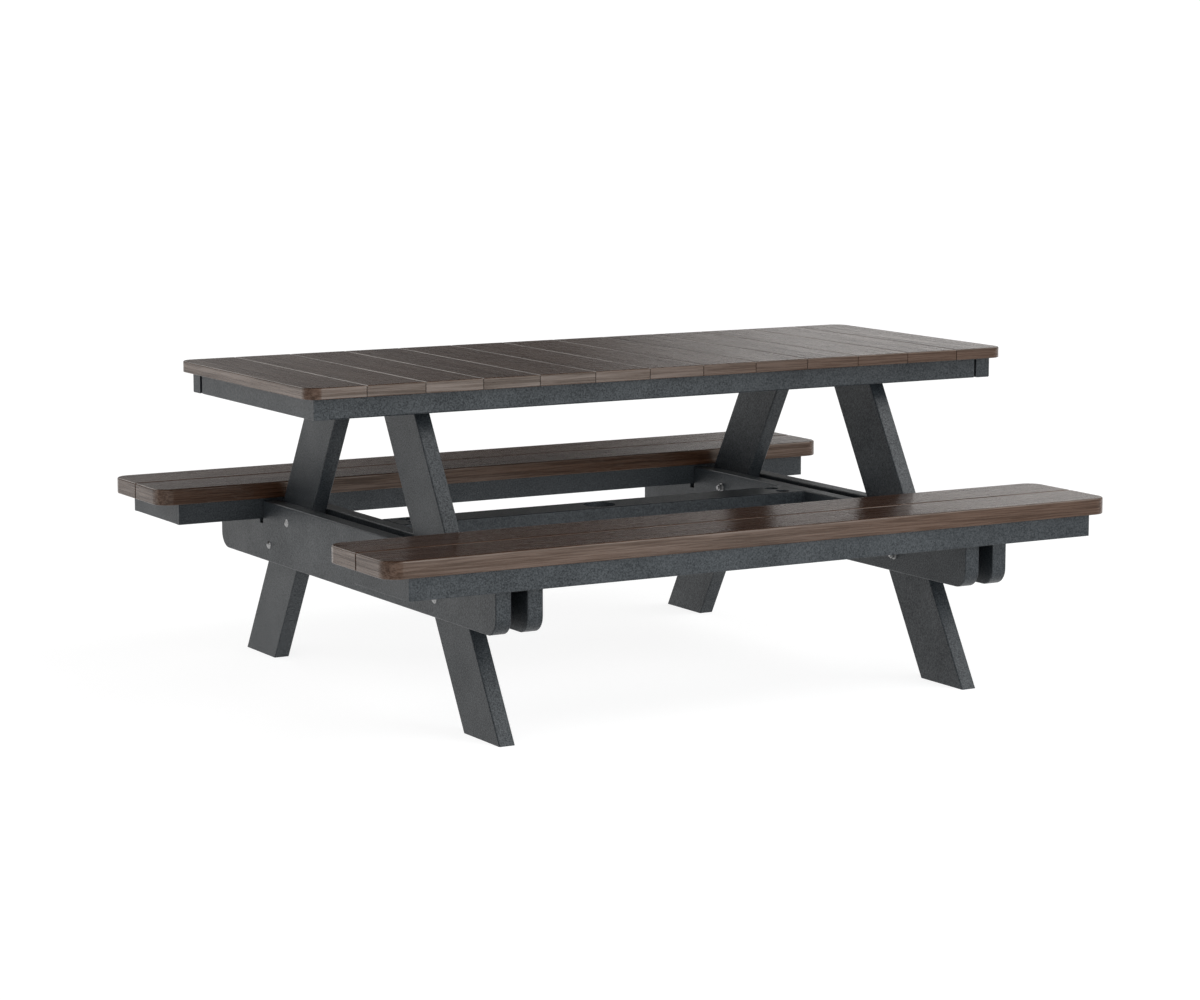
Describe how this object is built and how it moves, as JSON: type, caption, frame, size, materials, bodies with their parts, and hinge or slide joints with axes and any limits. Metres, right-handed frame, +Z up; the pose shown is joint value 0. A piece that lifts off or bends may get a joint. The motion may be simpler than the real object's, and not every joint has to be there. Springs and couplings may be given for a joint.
{
  "type": "picnic table",
  "caption": "Six-foot A-frame picnic table with attached bench seats, brown plank top and seats on slate-grey framing, umbrella pole hole in the stretcher.",
  "frame": {"origin": "on the floor, under the middle of the tabletop", "axes": "+X along the length of the table, +Y from the front seat towards the rear seat, +Z up"},
  "size_m": [1.859, 1.49, 0.75],
  "materials": {
    "deck_boards": "brown wood-grain embossed recycled plastic",
    "framing": "slate grey fine-textured recycled plastic",
    "fasteners": "plain stainless steel"
  },
  "bodies": {
    "root": {"carriage_bolt_nuts": "fasteners", "carriage_bolt_washers": "fasteners", "carriage_bolts": "fasteners", "front_seat_inner_board": "deck_boards", "front_seat_inner_rail": "framing", "front_seat_left_cross_cleat": "framing", "front_seat_left_end_board": "framing", "front_seat_middle_cross_cleat": "framing", "front_seat_outer_board": "deck_boards", "front_seat_outer_rail": "framing", "front_seat_right_cross_cleat": "framing", "front_seat_right_end_board": "framing", "left_front_leg": "framing", "left_inner_crossbeam": "framing", "left_inner_leg_top_cleat": "framing", "left_outer_crossbeam": "framing", "left_outer_leg_top_cleat": "framing", "left_rear_leg": "framing", "left_stretcher_cleat": "framing", "rear_seat_inner_board": "deck_boards", "rear_seat_inner_rail": "framing", "rear_seat_left_cross_cleat": "framing", "rear_seat_left_end_board": "framing", "rear_seat_middle_cross_cleat": "framing", "rear_seat_outer_board": "deck_boards", "rear_seat_outer_rail": "framing", "rear_seat_right_cross_cleat": "framing", "rear_seat_right_end_board": "framing", "right_front_leg": "framing", "right_inner_crossbeam": "framing", "right_inner_leg_top_cleat": "framing", "right_outer_crossbeam": "framing", "right_outer_leg_top_cleat": "framing", "right_rear_leg": "framing", "right_stretcher_cleat": "framing", "seat_lags": "fasteners", "seat_screws": "fasteners", "stretcher": "framing", "stretcher_cleat_lags": "fasteners", "stretcher_lags": "fasteners", "tabletop_board_01": "deck_boards", "tabletop_board_02": "deck_boards", "tabletop_board_03": "deck_boards", "tabletop_board_04": "deck_boards", "tabletop_board_05": "deck_boards", "tabletop_board_06": "deck_boards", "tabletop_board_07": "deck_boards", "tabletop_board_08": "deck_boards", "tabletop_board_09": "deck_boards", "tabletop_board_10": "deck_boards", "tabletop_board_11": "deck_boards", "tabletop_board_12": "deck_boards", "tabletop_board_13": "deck_boards", "tabletop_centre_rail": "framing", "tabletop_front_rail": "framing", "tabletop_left_end_apron": "framing", "tabletop_rear_rail": "framing", "tabletop_right_end_apron": "framing", "tabletop_screws": "fasteners"}
  },
  "joints": []
}
